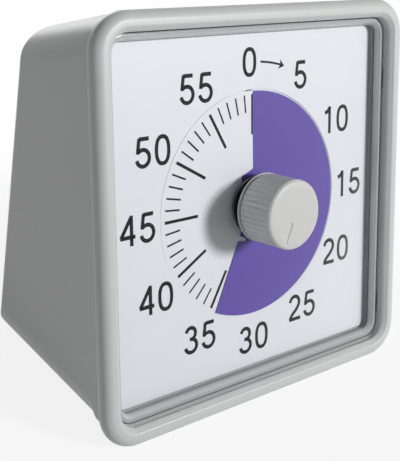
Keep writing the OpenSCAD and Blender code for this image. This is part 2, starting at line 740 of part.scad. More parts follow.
// Involute gear outline
function roll(r, base) = r > base ? sqrt(r * r / base / base - 1) * 180 / PI : 0;
function involute(r, base) = roll(r, base) - atan(roll(r, base) * PI / 180);
module gear_outline(teeth) {
    pitch_r = gear_module * teeth / 2;
    base = pitch_r * cos(pressure_angle);
    radii = [pitch_r - dedendum, max(base, pitch_r - dedendum / 2), pitch_r, pitch_r + addendum];
    thick = 90 / teeth - backlash / 2 / pitch_r * 90 / PI + involute(pitch_r, base);
    polygon([for (i = [0 : teeth - 1]) each concat(
        [for (r = radii) let (a = 360 * i / teeth - thick + involute(r, base)) r * [cos(a), sin(a)]],
        [for (k = [3 : -1 : 0]) let (r = radii[k], a = 360 * i / teeth + thick - involute(r, base))
            r * [cos(a), sin(a)]])]);
}

// Turn of a gear whose teeth fall in the gaps of the gear it follows
function mesh_phase(phase, teeth, mate_teeth, dir) =
    dir + 180 - (0.5 - (dir - phase) * teeth / 360) * 360 / mate_teeth;

module centre_wheel() color(gear_white) on_dial() difference() {
    slab(centre_y, centre_y + gear_t) gear_outline(centre_teeth);
    bar(spindle_r + press_gap, 0, far);
    for (a = [45 : 90 : 315]) rotate([0, a, 0]) bar(3, centre_y - 1, centre_y + gear_t + 1, 8.5, 0);
}

// Dished washer that presses the centre wheel, so the knob can slip past the train
module clutch_spring() color(steel) on_dial()
    turned([[spindle_r + 0.15, clutch_y + 0.36], [spindle_r + 0.15, clutch_y + 0.66],
            [spindle_r + 3, clutch_y + 0.3], [spindle_r + 3, clutch_y]]);

module idler_gear() color(gear_white) on_dial() translate([idler_at[0], 0, idler_at[1]]) {
    bar(arbor_r, train_y - 0.7, cam_y + 3.2);
    slab(centre_y - 0.2, idler_wheel_y) rotate(idler_phase) gear_outline(pinion_teeth);
    difference() {
        slab(idler_wheel_y, idler_wheel_y + gear_t) rotate(idler_phase) gear_outline(idler_teeth);
        for (a = [0 : 72 : 288]) rotate([0, a, 0]) bar(2, idler_wheel_y - 1, idler_wheel_y + gear_t + 1, 7, 0);
    }
}

module motor() color(steel) on_dial() translate([motor_at[0], 0, motor_at[1]]) difference() {
    union() {
        bar(motor_r, motor_y, movement_back_y - movement_wall);
        bar(2, motor_y - 0.4, motor_y + eps);
        for (x = [-1, 1]) translate([x * 3, motor_y + 2.6, motor_r]) cube([1.6, 0.5, 3], center = true);
    }
    bar(arbor_r + shaft_gap, motor_y - 1, motor_y + 2.5);
}

module motor_pinion() color(steel) on_dial() translate([motor_at[0], 0, motor_at[1]]) {
    bar(arbor_r, pinion_y - 0.3, motor_y + 2.2);
    slab(pinion_y, pinion_y + gear_t + 0.3) rotate(motor_phase) gear_outline(pinion_teeth);
}

// Cam whose notch lets the contact close when the disc reaches 0
module alarm_cam() color(gear_white) on_dial() rotate([0, set_angle, 0]) difference() {
    slab(cam_y, cam_y + cam_t) circle(cam_r);
    bar(spindle_r + press_gap, 0, far);
    translate([cam_r, cam_y, 0]) rotate([0, 45, 0]) cube([1.6, 2 * far, 1.6], center = true);
}

leaf_t = 0.25;
leaf_gap = 0.3;

// Two spring leaves in a moulded block, beside the cam
module alarm_contacts() color(brass) on_dial() {
    block = [5, movement_back_y - movement_wall - cam_y, 4];
    leaf_x = [cam_r + leaf_gap, cam_r + leaf_gap + 1.6];
    difference() {
        translate([cam_r, cam_y, 9]) cube(block);
        for (x = leaf_x) translate([x, cam_y - 1, 8]) cube([leaf_t, 1 + cam_t, 6]);
    }
    for (x = leaf_x) translate([x, cam_y + 0.1, -4]) cube([leaf_t, cam_t - 0.2, 16.5]);
}

module rear_cover() color(case_grey) {
    difference() {
        union() {
            intersection() {
                wedge(wall + cover_gap, 20);
                on_back() slab(cover_in_y, cover_out_y) translate([0, far / 2 - 1]) square(far, center = true);
            }
            on_back() {
                slab(bay_floor_y - bay_wall, cover_in_y + eps) translate([0, bay_up])
                    square([bay_l + 2 * bay_wall, bay_h + 2 * bay_wall], center = true);
                for (p = board_posts) bar(2.6, board_y, cover_in_y + eps, p[0], p[1]);
            }
        }
        on_back() {
            // battery bay and the door's recess
            slab(bay_floor_y, 0) translate([0, bay_up]) square([bay_l, bay_h], center = true);
            slab(door_ledge_y, 0) translate([-door_half - cover_gap, door_low - cover_gap])
                square([2 * (door_half + cover_gap), door_high - door_low + 2 * cover_gap]);
            // holes for the door's pins, and the thumb notch over its upper edge
            translate([-door_half - door_pin_l - cover_gap, door_hinge_y, door_hinge_z]) rotate([0, 90, 0])
                cylinder(r = door_pin_r + shaft_gap, h = 2 * (door_half + door_pin_l + cover_gap));
            translate([0, cover_out_y, door_high + 1]) rotate([-90, 0, 0])
                cylinder(r = 6, h = 2, center = true);
            // countersunk screw holes
            cover_screw_places() {
                bar(cover_screw_r + 0.2, cover_in_y - 1, 0);
                translate([0, cover_out_y - 1.5, 0]) rotate([-90, 0, 0])
                    cylinder(r1 = cover_screw_r + 0.1, r2 = cover_screw_r + 1.6, h = 1.5 + eps);
            }
            // sound holes
            bar(0.9, cover_in_y - 1, 0, -buzzer_side, alarm_up);
            for (ring = [1, 2], a = [0 : 60 / ring : 359]) rotate([0, 0, 0])
                bar(0.9, cover_in_y - 1, 0, -buzzer_side + 3.4 * ring * cos(a), alarm_up + 3.4 * ring * sin(a));
            // switch slot in its finger recess
            slab(cover_out_y - 1.3, 0) translate([switch_side, alarm_up])
                square([slider_pad[0] + switch_travel + 0.8, slider_pad[1] + 0.8], center = true);
            slab(cover_in_y - 1, 0) translate([switch_side, alarm_up])
                square([slider_stem[0] + switch_travel + 0.8, slider_stem[1] + 0.6], center = true);
            // pilot holes in the board posts
            for (p = board_posts) bar(board_screw_r + press_gap, board_y - 1, board_y + 6, p[0], p[1]);
        }
    }
}

module cover_screws() color(steel) on_back() cover_screw_places() difference() {
    union() {
        bar(cover_screw_r, cover_out_y - cover_screw_l, cover_out_y - 1.4);
        translate([0, cover_out_y - 1.5, 0]) rotate([-90, 0, 0])
            cylinder(r1 = cover_screw_r, r2 = cover_screw_r + 1.3, h = 1.4);
    }
    for (a = [0, 90]) rotate([0, a, 0]) translate([0, cover_out_y - 0.1, 0]) cube([2.6, 1.4, 0.6], center = true);
}

// Door over the battery: pins at its lower edge, a sprung tongue at its upper edge
module battery_door() color(case_grey) on_back() {
    difference() {
        union() {
            translate([-door_half, door_hinge_y, door_hinge_z]) rotate([0, 90, 0])
                cylinder(r = door_t / 2, h = 2 * door_half);
            slab(cover_out_y - door_t, cover_out_y) translate([-door_half, door_hinge_z])
                square([2 * door_half, door_high - door_hinge_z]);
        }
        // slots that free the tongue, and a grip across it
        for (x = [-1, 1]) slab(-far, 0) translate([x * 7.5 - 0.4, door_high - 9]) square([0.8, 10]);
        for (k = [0 : 2]) translate([0, cover_out_y, door_high - 2.2 - 1.6 * k])
            cube([9, 0.7, 0.7], center = true);
    }
    for (x = [-1, 1]) translate([x * (door_half + door_pin_l / 2 - 0.3), door_hinge_y, door_hinge_z]) rotate([0, 90, 0])
        cylinder(r = door_pin_r, h = door_pin_l, center = true);
}

module battery() color(cell_blue) on_back() translate([cell_right, cell_y, bay_up]) rotate([0, -90, 0]) {
    cylinder(r = cell_nub_r, h = cell_nub_l + eps);
    translate([0, 0, cell_nub_l]) cylinder(r = cell_r, h = cell_l - cell_nub_l);
}

module positive_contact() color(steel) on_back() {
    translate([bay_half - contact_t, cell_y - 5, bay_up - 5]) cube([contact_t, 10, 10]);
    // tab that runs out through the bay's floor
    translate([bay_half - contact_t, bay_floor_y, bay_up - 1.5]) cube([contact_t, 3, 3]);
}

// A round bar of n sides swept along a list of points
module sweep(path, r, sides) {
    n = len(path);
    function along(i) = unit(path[min(i + 1, n - 1)] - path[max(i - 1, 0)]);
    function side_of(t) = unit(cross(t, abs(t[2]) < 0.9 ? [0, 0, 1] : [1, 0, 0]));
    points = [for (i = [0 : n - 1]) let (t = along(i), u = side_of(t), v = cross(t, u))
        each [for (k = [0 : sides - 1]) let (a = 360 * k / sides) path[i] + r * (cos(a) * u + sin(a) * v)]];
    walls = [for (i = [0 : n - 2], k = [0 : sides - 1])
        let (a = i * sides + k, b = i * sides + (k + 1) % sides) each [[a, b + sides, b], [a, a + sides, b + sides]]];
    polyhedron(points, concat([[for (k = [0 : sides - 1]) k]], walls,
        [[for (k = [sides - 1 : -1 : 0]) (n - 1) * sides + k]]), convexity = 6);
}

spring_wire_r = 0.35;
spring_turns = 4;

// Cone-shaped coil on a plate, pressing the cell's flat end
module negative_spring() color(steel) on_back() {
    cell_left = cell_right - cell_l;
    length = cell_left + bay_half - contact_t - 2 * spring_wire_r - 0.1;
    translate([-bay_half, cell_y - 5, bay_up - 5]) cube([contact_t, 10, 10]);
    translate([-bay_half + contact_t + spring_wire_r - 0.1, cell_y, bay_up])
        sweep([for (i = [0 : 16 * spring_turns]) let (q = i / 16 / spring_turns, r = 5 - 2.4 * q, a = 22.5 * i)
            [length * q, r * cos(a), r * sin(a)]], spring_wire_r, 6);
}

module circuit_board() color(board_green) on_back() difference() {
    slab(board_y - board_t, board_y) translate([-board_half, board_low])
        square([2 * board_half, board_high - board_low]);
    for (p = board_posts) bar(board_screw_r + 0.2, board_y - board_t - 1, board_y + 1, p[0], p[1]);
}

module board_screws() color(steel) on_back() for (p = board_posts) translate([p[0], 0, p[1]]) {
    bar(board_screw_r, board_y - board_t, board_y + board_screw_grip);
    rotate([180, 0, 0]) pan_head(2, board_t - board_y, 1.2);
}

module buzzer() color(hub_black) on_back() difference() {
    bar(buzzer_r, board_y, cover_in_y - 0.8, -buzzer_side, alarm_up);
    bar(1.2, cover_in_y - 3, 0, -buzzer_side, alarm_up);
}

module alarm_switch() color(steel) on_back() difference() {
    slab(board_y, board_y + switch_size[2]) translate([switch_side, alarm_up])
        square([switch_size[0], switch_size[1]], center = true);
    slab(board_y + 1, 0) translate([switch_side, alarm_up])
        square([slider_stem[0] + switch_travel + 0.4, slider_stem[1] + 0.4], center = true);
}

module switch_slider() color(hub_black) on_back() translate([switch_side + switch_travel / 2, 0, alarm_up]) {
    slab(board_y + 1.3, cover_out_y - 1.1) square(slider_stem, center = true);
    difference() {
        slab(cover_out_y - 1.15, cover_out_y + 0.1) square(slider_pad, center = true);
        for (x = [-1, 0, 1]) translate([x * 1.3, cover_out_y + 0.1, 0]) cube([0.5, 0.7, far], center = true);
    }
}

// A smooth curve through a few points, with the given steps between each two
function curve(p, steps) = [for (i = [0 : len(p) - 2], k = [0 : steps - 1])
    let (t = k / steps, a = p[max(i - 1, 0)], b = p[i], c = p[i + 1], d = p[min(i + 2, len(p) - 1)])
    0.5 * (2 * b + (c - a) * t + (2 * a - 5 * b + 4 * c - d) * t * t + (3 * b - a - 3 * c + d) * t * t * t)];

// Insulated leads: two from the board to the motor's side, two to the alarm contacts' side, two to the battery
module leads() color(lead_red) {
    for (side = [-1, 1], k = [0, 1]) {
        at = side * (lead_side + 2) + 2 * k - 1;
        from = back_pt([at, board_y - board_t - lead_r, board_low + lead_up]);
        to = dial_pt([side * lead_side + 2 * k - 1, movement_back_y - 0.4, movement_half - 2.4]);
        above = back_pt([at, board_y - board_t - 8, board_low + lead_up - 2]);
        beyond = to + [0, 6, 2];
        sweep(concat(curve([from, above, beyond, to], 5), [to]), lead_r, 8);
    }
    for (side = [-1, 1]) {
        low = back_pt([side * (bay_half - 0.2), bay_floor_y - bay_wall - lead_r, bay_up]);
        mid = back_pt([side * (bay_half - 2), bay_floor_y - bay_wall - 3, bay_up + 12]);
        high = back_pt([side * 25, board_y - board_t - lead_r, board_low + 3]);
        sweep(concat(curve([low, mid, high], 6), [high]), lead_r, 8);
    }
}

housing();
lens();
dial_plate();
chassis();
chassis_screws();
time_disc();
disc_hub();
knob();
spindle();
movement_front();
movement_back();
movement_screws();
fixing_nut();
centre_wheel();
clutch_spring();
idler_gear();
motor();
motor_pinion();
alarm_cam();
alarm_contacts();
rear_cover();
cover_screws();
battery_door();
battery();
positive_contact();
negative_spring();
circuit_board();
board_screws();
buzzer();
alarm_switch();
switch_slider();
leads();
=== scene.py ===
import json
import bmesh
import bpy
from math import atan2, copysign, cos, degrees, hypot, pi, radians, sin
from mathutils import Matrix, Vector


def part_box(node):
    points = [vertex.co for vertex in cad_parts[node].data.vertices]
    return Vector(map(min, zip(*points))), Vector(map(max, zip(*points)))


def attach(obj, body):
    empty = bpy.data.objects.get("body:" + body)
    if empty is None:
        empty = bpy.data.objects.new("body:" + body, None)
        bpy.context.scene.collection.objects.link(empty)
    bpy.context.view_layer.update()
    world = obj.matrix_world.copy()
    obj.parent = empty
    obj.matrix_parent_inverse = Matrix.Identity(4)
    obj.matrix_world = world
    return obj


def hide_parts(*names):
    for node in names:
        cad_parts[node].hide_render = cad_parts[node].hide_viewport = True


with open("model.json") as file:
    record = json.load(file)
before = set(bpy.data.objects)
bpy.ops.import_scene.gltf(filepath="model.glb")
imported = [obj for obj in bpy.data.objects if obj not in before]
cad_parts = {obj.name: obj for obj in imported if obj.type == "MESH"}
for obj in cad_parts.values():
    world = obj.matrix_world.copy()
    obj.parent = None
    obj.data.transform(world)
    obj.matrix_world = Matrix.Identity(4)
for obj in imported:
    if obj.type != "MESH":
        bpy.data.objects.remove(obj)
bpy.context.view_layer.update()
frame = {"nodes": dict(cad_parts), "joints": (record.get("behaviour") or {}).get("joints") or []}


# ---- Studio ----
# A white paper floor in an even white room, with a lamp in front of the timer, to its right and a little
# above, and a weak one behind. The camera stands to the left of the dial and looks down a little.
class Wire:
    """A shader socket that takes part in sums as a number does."""

    def __init__(self, finish, socket):
        self.finish, self.socket = finish, socket

    def maths(self, operation, *terms):
        return self.finish.node("ShaderNodeMath", {"operation": operation}, dict(enumerate(terms)))

    def __add__(self, other):
        return self.maths("ADD", self, other)

    def __sub__(self, other):
        return self.maths("SUBTRACT", self, other)

    def __rsub__(self, other):
        return self.maths("SUBTRACT", other, self)

    def __mul__(self, other):
        return self.maths("MULTIPLY", self, other)

    def __abs__(self):
        return self.maths("ABSOLUTE", self)

    def larger(self, other):
        return self.maths("MAXIMUM", self, other)

    def root(self):
        return self.maths("SQRT", self)

    __radd__ = __add__
    __rmul__ = __mul__


class Finish:
    """A material, or the room's light, put together node by node."""

    def __init__(self, holder):
        holder.use_nodes = True
        self.holder, self.tree = holder, holder.node_tree
        self.tree.nodes.clear()

    def node(self, kind, settings=None, sockets=None, out=0):
        made = self.tree.nodes.new(kind)
        for name, value in (settings or {}).items():
            setattr(made, name, value)
        for name, value in (sockets or {}).items():
            if isinstance(value, Wire):
                self.tree.links.new(value.socket, made.inputs[name])
            else:
                made.inputs[name].default_value = value
        return Wire(self, made.outputs[out]) if made.outputs else None

    def blend(self, factor, first, second):
        """One colour passing into another; each is three numbers or a wire."""
        first, second = [c if isinstance(c, Wire) else (*c, 1) for c in (first, second)]
        return self.node("ShaderNodeMix", {"data_type": "RGBA"}, {0: factor, 6: first, 7: second}, out=2)

    def rise(self, value, low, high):
        """0 below low, 1 above high and smooth between."""
        return self.node("ShaderNodeMapRange", {"interpolation_type": "SMOOTHSTEP"},
                         {"Value": value, "From Min": low, "From Max": high})

    def place(self):
        return self.node("ShaderNodeTexCoord", out="Object")

    def across(self, axis):
        return self.node("ShaderNodeSeparateXYZ", sockets={0: self.place()}, out=axis)

    def noise(self, scale, detail=3.0, stretch=(1, 1, 1)):
        """Soft cloud, scale in waves per metre."""
        laid = self.node("ShaderNodeMapping", sockets={"Vector": self.place(), "Scale": stretch})
        return self.node("ShaderNodeTexNoise", sockets={"Vector": laid, "Scale": scale, "Detail": detail})

    def bump(self, height, depth):
        return self.node("ShaderNodeBump", sockets={"Height": height, "Distance": depth, "Strength": 1.0})

    def surface(self, sockets):
        self.close(self.node("ShaderNodeBsdfPrincipled", sockets=sockets))
        return self

    def close(self, shader):
        self.node("ShaderNodeOutputMaterial", sockets={"Surface": shader})


turn = next(joint for joint in frame["joints"] if joint["name"] == "dial_turn")
spindle_at = Vector(turn["pos_m"])
right, into = Vector((1, 0, 0)), Vector(turn["axis"])
up = right.cross(into)


def on_dial(x, y, z):
    """A point given in millimetres on the dial: to the right, into the case and up the dial."""
    return spindle_at + (right * x + into * y + up * z) / 1000


def seen(finish):
    """1 for what is seen straight, by mirror or through glass; 0 for light that falls on the timer."""
    straight, mirrored, through_glass = [finish.node("ShaderNodeLightPath", out=name)
                                         for name in ("Is Camera Ray", "Is Glossy Ray", "Is Transmission Ray")]
    return straight.larger(mirrored).larger(through_glass)


room_light = 0.12
room = Finish(bpy.data.worlds.new("white_room"))
bpy.context.scene.world = room.holder
soft = room.node("ShaderNodeBackground", sockets={"Color": (0.97, 0.98, 1, 1), "Strength": room_light})
white = room.node("ShaderNodeBackground", sockets={"Color": (1, 1, 1, 1), "Strength": 1.0})
room.node("ShaderNodeOutputWorld", sockets={
    "Surface": room.node("ShaderNodeMixShader", sockets={0: seen(room), 1: soft, 2: white})})

# the paper glows white, and a little less close to the timer, so that a soft shadow shows there
floor_half = 6.0
near_glow, near, far = 0.86, 0.06, 0.25
floor_mesh = bpy.data.meshes.new("paper_floor")
floor_mesh.from_pydata([(x * floor_half, y * floor_half, 0) for x, y in ((-1, -1), (1, -1), (1, 1), (-1, 1))],
                       [], [(0, 1, 2, 3)])
floor = bpy.data.objects.new("paper_floor", floor_mesh)
bpy.context.scene.collection.objects.link(floor)
paper = Finish(bpy.data.materials.new("paper"))
fibre = paper.noise(900.0, 3.0)
sheet = paper.node("ShaderNodeBsdfDiffuse", sockets={
    "Color": paper.blend(fibre, (0.86, 0.86, 0.86), (0.9, 0.9, 0.9)), "Roughness": 0.9})
glow = paper.node("ShaderNodeEmission", sockets={"Color": (1, 1, 1, 1), "Strength": 1.0})
afar = paper.node("ShaderNodeVectorMath", {"operation": "LENGTH"}, {0: paper.place()}, out="Value")
paper.close(paper.node("ShaderNodeMixShader", sockets={
    0: seen(paper) * (near_glow + (1 - near_glow) * paper.rise(afar, near, far)), 1: sheet, 2: glow}))
floor_mesh.materials.append(paper.holder)

for name, toward, reach, width, level in (("lamp", right * 0.5 - into + up * 0.2, 1.5, 0.3, 0.775),
                                          ("back_lamp", right * 0.25 + into + up * 0.7, 1.6, 0.8, 0.3)):
    toward = toward.normalized()
    lamp_data = bpy.data.lights.new(name, "AREA")
    lamp_data.shape, lamp_data.size = "DISK", width
    lamp_data.energy = level * pi * pi * reach ** 2
    lamp = bpy.data.objects.new(name, lamp_data)
    lamp.location = spindle_at + toward * reach
    lamp.rotation_euler = toward.to_track_quat("Z", "Y").to_euler()
    bpy.context.scene.collection.objects.link(lamp)

camera_data = bpy.data.cameras.new("camera")
camera_data.lens, camera_data.sensor_width, camera_data.shift_y = 75.098, 36, -0.15
camera_data.clip_start = 0.01
camera = bpy.data.objects.new("camera", camera_data)
camera.location = (-0.224152, -0.23082, 0.204842)
camera.rotation_euler = [radians(a) for a in (67.81457, -8.26557, -38.90652)]
bpy.context.scene.collection.objects.link(camera)
bpy.context.scene.camera = camera
bpy.context.scene.view_settings.view_transform = "Standard"


# ---- Case ----
# The wedge-shaped case and its round rim are one moulding in light grey styrene plastic. The mould
# was lightly etched, so the plastic has a satin look with a very fine grain.
def moulded(name, colour, roughness, mottle=0.03, grain=2400.0, depth=0.000006):
    """Moulded plastic: slightly uneven colour and gloss over the fine grain of the mould."""
    finish = Finish(bpy.data.materials.new(name))
    cloud, fine = finish.noise(38.0, 4.0), finish.noise(grain, 2.0)
    darker, lighter = [c * (1 - mottle) for c in colour], [min(1, c * (1 + mottle)) for c in colour]
    return finish.surface({
        "Base Color": finish.blend(cloud, darker, lighter),
        "Roughness": roughness - 0.05 + 0.1 * fine,
        "Normal": finish.bump(fine, depth)})


def dress(node, finish):
    """Gives a piece of the frame its finish."""
    piece = frame["nodes"][node]
    if not piece.material_slots:
        piece.data.materials.append(finish.holder)
    for slot in piece.material_slots:
        slot.material = finish.holder


case_plastic = moulded("case_plastic", (0.60, 0.61, 0.60), 0.42)
dress("housing", case_plastic)


# ---- Chassis ----
# A white plate inside the case carries the dial in front and the movement behind. Four self-tapping
# screws hold it to the ledge behind the rim.
inner_plastic = moulded("inner_plastic", (0.78, 0.78, 0.75), 0.5)
dress("chassis", inner_plastic)


def metal(name, colour, roughness, scratch=(1, 1, 30)):
    """Bare metal with fine drawn marks along one direction."""
    finish = Finish(bpy.data.materials.new(name))
    marks, stain = finish.noise(420.0, 3.0, scratch), finish.noise(160.0, 3.0)
    return finish.surface({
        "Base Color": finish.blend(stain, [c * 0.88 for c in colour], colour),
        "Metallic": 1.0,
        "Roughness": roughness - 0.06 + 0.14 * marks,
        "Normal": finish.bump(marks, 0.000004)})


screw_steel = metal("screw_steel", (0.62, 0.63, 0.65), 0.34)
dress("chassis_screws", screw_steel)


# ---- Movement ----
# A two-part box in dark grey plastic holds the train. A thin hexagon nut on its threaded collar
# clamps it to the chassis, and four long screws close it.
movement_plastic = moulded("movement_plastic", (0.075, 0.077, 0.083), 0.5, mottle=0.08)
dress("movement_front", movement_plastic)
dress("movement_back", movement_plastic)
dress("movement_screws", screw_steel)
brass = metal("brass", (0.72, 0.54, 0.25), 0.3)
dress("fixing_nut", brass)


# ---- Train ----
# Centre wheel, idler and cam are moulded in natural acetal, a slightly waxy white. The motor's can,
# its pinion and the dished clutch washer are plain steel, and the alarm's two leaves are brass.
acetal = moulded("acetal", (0.83, 0.82, 0.76), 0.33)
for node in ("centre_wheel", "idler_gear", "alarm_cam"):
    dress(node, acetal)
plain_steel = metal("plain_steel", (0.56, 0.57, 0.59), 0.28, scratch=(1, 30, 1))
for node in ("clutch_spring", "motor", "motor_pinion"):
    dress(node, plain_steel)
dress("alarm_contacts", brass)


# ---- Dial ----
# The dial is a white plastic sheet. Its round middle is slit at 0 and climbs by one pitch from one
# side of the slit to the other, so the coloured film can pass through. It lies in front of the chassis.
pitch, web_at_0, web_edge = 0.74, 0.46, 40.8


def face_depth(x, z):
    """How deep the sheet's face lies at a place on the dial, in millimetres."""
    if hypot(x, z) > web_edge:
        return 0.0
    return web_at_0 - pitch * (degrees(atan2(x, z)) % 360) / 360


dial_sheet = Finish(bpy.data.materials.new("dial_sheet"))
tone, tooth = dial_sheet.noise(24.0, 3.0), dial_sheet.noise(3200.0, 2.0)
dial_sheet.surface({
    "Base Color": dial_sheet.blend(tone, (0.795, 0.80, 0.83), (0.835, 0.84, 0.865)),
    "Roughness": 0.4 + 0.08 * tooth,
    "Normal": dial_sheet.bump(tooth, 0.000003)})
dress("dial_plate", dial_sheet)


# ---- Print on the dial ----
# Sixty strokes, the minute numbers by fives and a small arrow at 0 are screen printed in black ink
# that stands a hair above the sheet.
ink_height = 0.02
ink = Finish(bpy.data.materials.new("printing_ink"))
ink.surface({
    "Base Color": ink.blend(ink.noise(700.0), (0.006, 0.006, 0.007), (0.014, 0.014, 0.016)),
    "Roughness": 0.5 + 0.1 * ink.noise(2000.0), "Specular IOR Level": 0.12})


class Print:
    """Gathers flat printed strokes, in millimetres on the dial, into one piece."""

    def __init__(self):
        self.points, self.faces = [], []

    def outline(self, front):
        """A thin closed patch from the corners of its face, in order."""
        n, base = len(front), len(self.points)
        for lift in (-ink_height, ink_height):
            self.points += [on_dial(x, face_depth(x, z) + lift, z) for x, z in front]
        self.faces += [[base + i for i in range(n)], [base + n + i for i in reversed(range(n))]]
        self.faces += [[base + i, base + n + i, base + n + (i + 1) % n, base + (i + 1) % n] for i in range(n)]

    def stroke(self, path, width, closed=False):
        """A stroke of even width along a path, one patch for each pair of points."""
        n = len(path)
        sides = []
        for i, (x, z) in enumerate(path):
            before = path[i - 1] if closed or i else path[0]
            after = path[(i + 1) % n] if closed or i < n - 1 else path[-1]
            ahead = [Vector((b[0] - a[0], b[1] - a[1])).normalized()
                     for a, b in ((before, path[i]), (path[i], after)) if a != b]
            along = sum(ahead, Vector((0, 0))).normalized()
            # a bend's outer corner reaches out to twice the stroke's half width at most
            reach = width / 2 / max(0.5, along.dot(ahead[0]))
            aside_x, aside_z = -along[1] * reach, along[0] * reach
            sides.append(((x + aside_x, z + aside_z), (x - aside_x, z - aside_z)))
        for i in range(n if closed else n - 1):
            a, b = sides[i], sides[(i + 1) % n]
            self.outline([a[0], b[0], b[1], a[1]])

    def piece(self, name):
        mesh = bpy.data.meshes.new(name)
        mesh.from_pydata(self.points, [], self.faces)
        mesh.materials.append(ink.holder)
        made = bpy.data.objects.new(name, mesh)
        bpy.context.scene.collection.objects.link(made)
        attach(made, "case")


stroke_outer, short_inner, long_inner = 39.2, 33.05, 25.1
short_width, long_width = 0.64, 1.08
# the stroke at 0 stands on the sheet just left of the slit
zero_x, zero_width = -0.56, 0.7
strokes = Print()
for minute in range(60):
    inner, width = (short_inner, short_width) if minute % 5 else (long_inner, long_width)
    if minute == 0:
        strokes.stroke([(zero_x, inner), (zero_x, stroke_outer)], zero_width)
    else:
        a = radians(6 * minute)
        strokes.stroke([(r * sin(a), r * cos(a)) for r in (inner, stroke_outer)], width)
strokes.piece("minute_strokes")


def bow(x, z, rx, rz, start, end, steps=14):
    """Part of an ellipse, its angles in degrees counted from the right towards the top."""
    turns = [radians(start + (end - start) * i / steps) for i in range(steps + 1)]
    return [(x + rx * cos(a), z + rz * sin(a)) for a in turns]


def squared_oval(z, rx, rz, steps=40):
    """A closed oval with slightly squared shoulders."""
    power = 2 / 2.4
    turns = [2 * pi * (i + 0.5) / steps for i in range(steps)]
    return [(copysign(rx * abs(cos(a)) ** power, cos(a)), z + copysign(rz * abs(sin(a)) ** power, sin(a)))
            for a in turns]


number_height, number_advance, number_weight = 10.1, 7.84, 0.135
# each figure is one to three paths, drawn 1 high about its own middle line; only the 0 is closed
figures = {
    "0": [squared_oval(0.5, 0.246, 0.439)],
    "1": [[(0.083, 0.0), (0.083, 1.0)],
          [(-0.17, 0.78), (-0.06, 0.805), (0.03, 0.875), (0.075, 0.97)]],
    "2": [bow(0.0, 0.695, 0.235, 0.245, 172, -38) + [(0.08, 0.41), (-0.12, 0.24), (-0.205, 0.13), (-0.235, 0.05)],
          [(-0.27, 0.06), (0.30, 0.06)]],
    "3": [bow(-0.01, 0.73, 0.205, 0.21, 165, -75) + [(-0.06, 0.53)],
          bow(-0.005, 0.295, 0.245, 0.24, 72, -170)],
    "4": [[(0.15, 0.0), (0.15, 1.0)],
          [(-0.29, 0.295), (0.30, 0.295)],
          [(-0.262, 0.30), (0.13, 0.93)]],
    "5": [[(0.24, 0.94), (-0.155, 0.94)],
          [(-0.145, 0.97), (-0.212, 0.47)],
          [(-0.215, 0.50), (-0.13, 0.565)] + bow(-0.005, 0.325, 0.25, 0.268, 112, -168, 18)],
}
number_at = {0: (-1.44, 50.25), 5: (23.35, 44.05), 10: (42.07, 25.92), 15: (49.67, 0.46), 20: (43.55, -25.1),
             25: (25.35, -43.6), 30: (0.47, -50.0), 35: (-24.75, -43.3), 40: (-43.2, -25.0), 45: (-50.1, -0.1),
             50: (-43.35, 24.6), 55: (-25.05, 43.2)}
numbers = Print()
for number, (number_x, number_z) in number_at.items():
    text = str(number)
    for k, figure in enumerate(text):
        middle = number_x + (k - (len(text) - 1) / 2) * number_advance
        for path in figures[figure]:
            numbers.stroke([(middle + x * number_height, number_z + (z - 0.5) * number_height) for x, z in path],
                           number_weight * number_height, closed=figure == "0")
numbers.piece("minute_numbers")

# the arrow's shaft follows a circle and ends in a barbed head
arrow_r, arrow_from, arrow_to, arrow_width = 50.15, 4.2, 16.3, 0.73
head_l, head_notch, head_half = 2.6, 1.9, 1.75
arrow = Print()
shaft = [radians(arrow_from + (arrow_to - arrow_from) * i / 10) for i in range(11)]
arrow.stroke([(arrow_r * sin(a), arrow_r * cos(a)) for a in shaft], arrow_width)
tip, ahead, aside = Vector((15.1, 47.8)), Vector((0.954, -0.300)), Vector((0.300, 0.954))
arrow.outline([tuple(tip + ahead * a + aside * s)
               for a, s in ((0, 0), (-head_l, -head_half), (-head_notch, 0), (-head_l, head_half))])
arrow.piece("zero_arrow")


# ---- Coloured film and its hub ----
# A ring of thin purple plastic film, cut once along a radius, shows the minutes left. Its bore is held
# between the flanges of a black hub, which is pushed on the spindle.
film = Finish(bpy.data.materials.new("purple_film"))
wash = film.noise(30.0, 3.0)
film.surface({
    "Base Color": film.blend(wash, (0.122, 0.075, 0.37), (0.15, 0.102, 0.405)),
    "Roughness": 0.42 + 0.08 * film.noise(2600.0), "Specular IOR Level": 0.2,
    "Normal": film.bump(film.noise(260.0), 0.000008)})
dress("time_disc", film)
black_plastic = moulded("black_plastic", (0.012, 0.012, 0.014), 0.38, mottle=0.2)
dress("disc_hub", black_plastic)


# ---- Clear cover ----
# A flat window inside a raised rim, moulded in clear acrylic and snapped into the case. Its polished
# face lets light straight through, while its thick rim is painted pale with painted light and dark with painted
# shade at its outer wall.
clear = Finish(bpy.data.materials.new("clear_acrylic"))
across, depth, height = [clear.across(axis) for axis in ("X", "Y", "Z")]
lean_sin, lean_cos = -into.z, into.y
up_dial = (depth - spindle_at.y) * lean_sin + (height - spindle_at.z) * lean_cos
# the corners are rounded about points this far from the middle, and the rim is coloured by how far out it lies
corner_from_middle = 0.057
out_x, out_z = [(abs(d) - corner_from_middle).larger(0) for d in (across, up_dial)]
out = (out_x * out_x + out_z * out_z).root()


def strip(starts, full, fades, ends):
    """1 over a strip all round the rim, from four distances out in metres."""
    return clear.rise(out, starts, full) - clear.rise(out, fades, ends)


